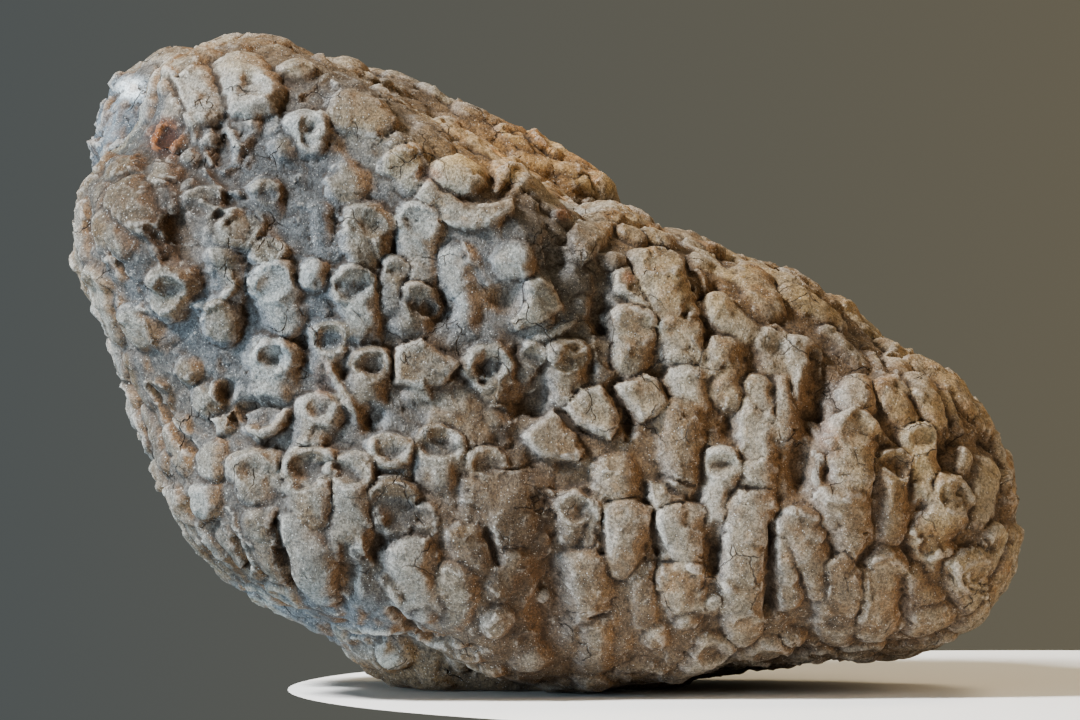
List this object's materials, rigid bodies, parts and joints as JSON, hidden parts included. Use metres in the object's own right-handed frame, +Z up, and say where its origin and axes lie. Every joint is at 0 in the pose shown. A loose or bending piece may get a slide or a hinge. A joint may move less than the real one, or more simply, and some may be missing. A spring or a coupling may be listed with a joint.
{
  "type": "fossil coral head",
  "caption": "Massive fossil coral head: close-packed finger corallites with cupped mouths standing out of weathered limestone, on a flat natural break.",
  "frame": {"origin": "middle of the bounding box's bottom face, on the surface the stone stands on", "axes": "+X along the longest extent, to the right of the broad weathered face; -Y out of that face; +Z up"},
  "size_m": [0.1516, 0.098, 0.1056],
  "materials": {
    "fossil_stone": "dull weathered limestone, grey on the raised corallites, ochre to the right, dark brown in the gaps"
  },
  "bodies": {
    "root": {"coral_head": "fossil_stone"}
  },
  "joints": []
}
